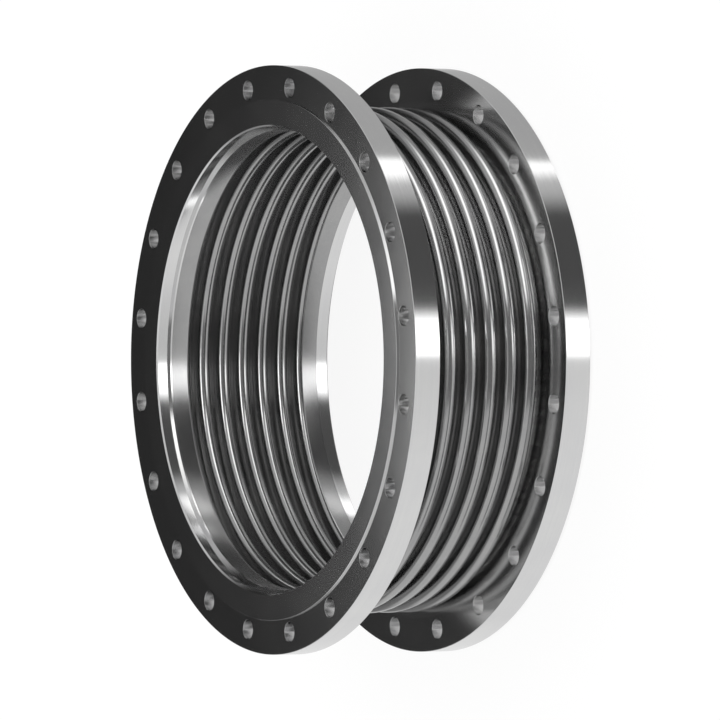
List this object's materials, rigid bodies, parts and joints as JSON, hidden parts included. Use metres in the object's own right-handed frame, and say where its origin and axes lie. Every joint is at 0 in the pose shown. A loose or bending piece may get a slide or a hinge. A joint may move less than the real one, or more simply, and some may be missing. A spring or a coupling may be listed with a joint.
{
  "type": "axial expansion joint",
  "caption": "Corrugated metal bellows between drilled raised-face flanges, which takes up axial movement in a straight pipe run.",
  "frame": {"origin": "centre of the lower raised sealing face, on the pipe axis", "axes": "+Z along the pipe axis towards the upper flange; +X midway between two neighbouring bolt holes"},
  "size_m": [0.6449, 0.645, 0.22],
  "materials": {
    "flange_steel": "fine turned, satin to bright",
    "bellows_steel": "cold formed sheet, satin",
    "collar_steel": "rolled strip, satin",
    "weld_metal": "dressed weld bead"
  },
  "bodies": {
    "lower_end": {"lower_flange": "flange_steel", "lower_collar": "collar_steel", "lower_face_weld": "weld_metal", "lower_back_weld": "weld_metal", "bellows": "bellows_steel"},
    "upper_end": {"upper_flange": "flange_steel", "upper_collar": "collar_steel", "upper_face_weld": "weld_metal", "upper_back_weld": "weld_metal"}
  },
  "joints": [
    {"name": "axial_travel", "type": "slide", "parent": "lower_end", "child": "upper_end", "axis": [0, 0, 1], "range_m": [-0.025, 0.025], "stiffness_N_per_m": 400000, "springref_m": 0.00069, "deforming": ["bellows"]}
  ]
}
